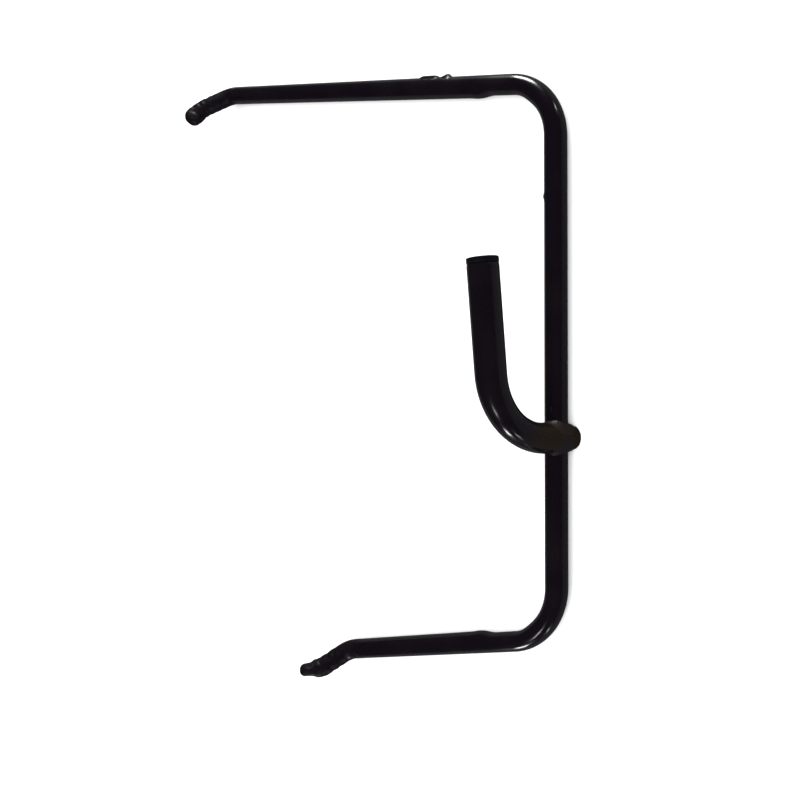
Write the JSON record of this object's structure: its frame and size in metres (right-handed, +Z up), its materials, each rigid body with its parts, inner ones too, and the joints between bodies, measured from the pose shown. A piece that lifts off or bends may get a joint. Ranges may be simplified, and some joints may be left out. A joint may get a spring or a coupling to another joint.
{
  "type": "frame grip",
  "caption": "Bent steel-tube lifting frame: crossbar, one long and one short splayed arm with raised pinched tips, and a J-shaped hand grip welded over the crossbar.",
  "frame": {"origin": "on the ground under the crossbar, where the grip stem crosses it", "axes": "+X along the crossbar towards the long arm, +Y along the arms away from the crossbar, +Z up, away from the ground the frame lies on"},
  "size_m": [0.6468, 0.4894, 0.0976],
  "materials": {
    "black_paint": "gloss",
    "weld_paint": "satin",
    "black_plastic": "satin"
  },
  "bodies": {
    "root": {"frame_tube": "black_paint", "grip_tube": "black_paint", "grip_plug": "black_plastic", "weld_bead_long_side": "weld_paint", "weld_bead_short_side": "weld_paint"}
  },
  "joints": []
}
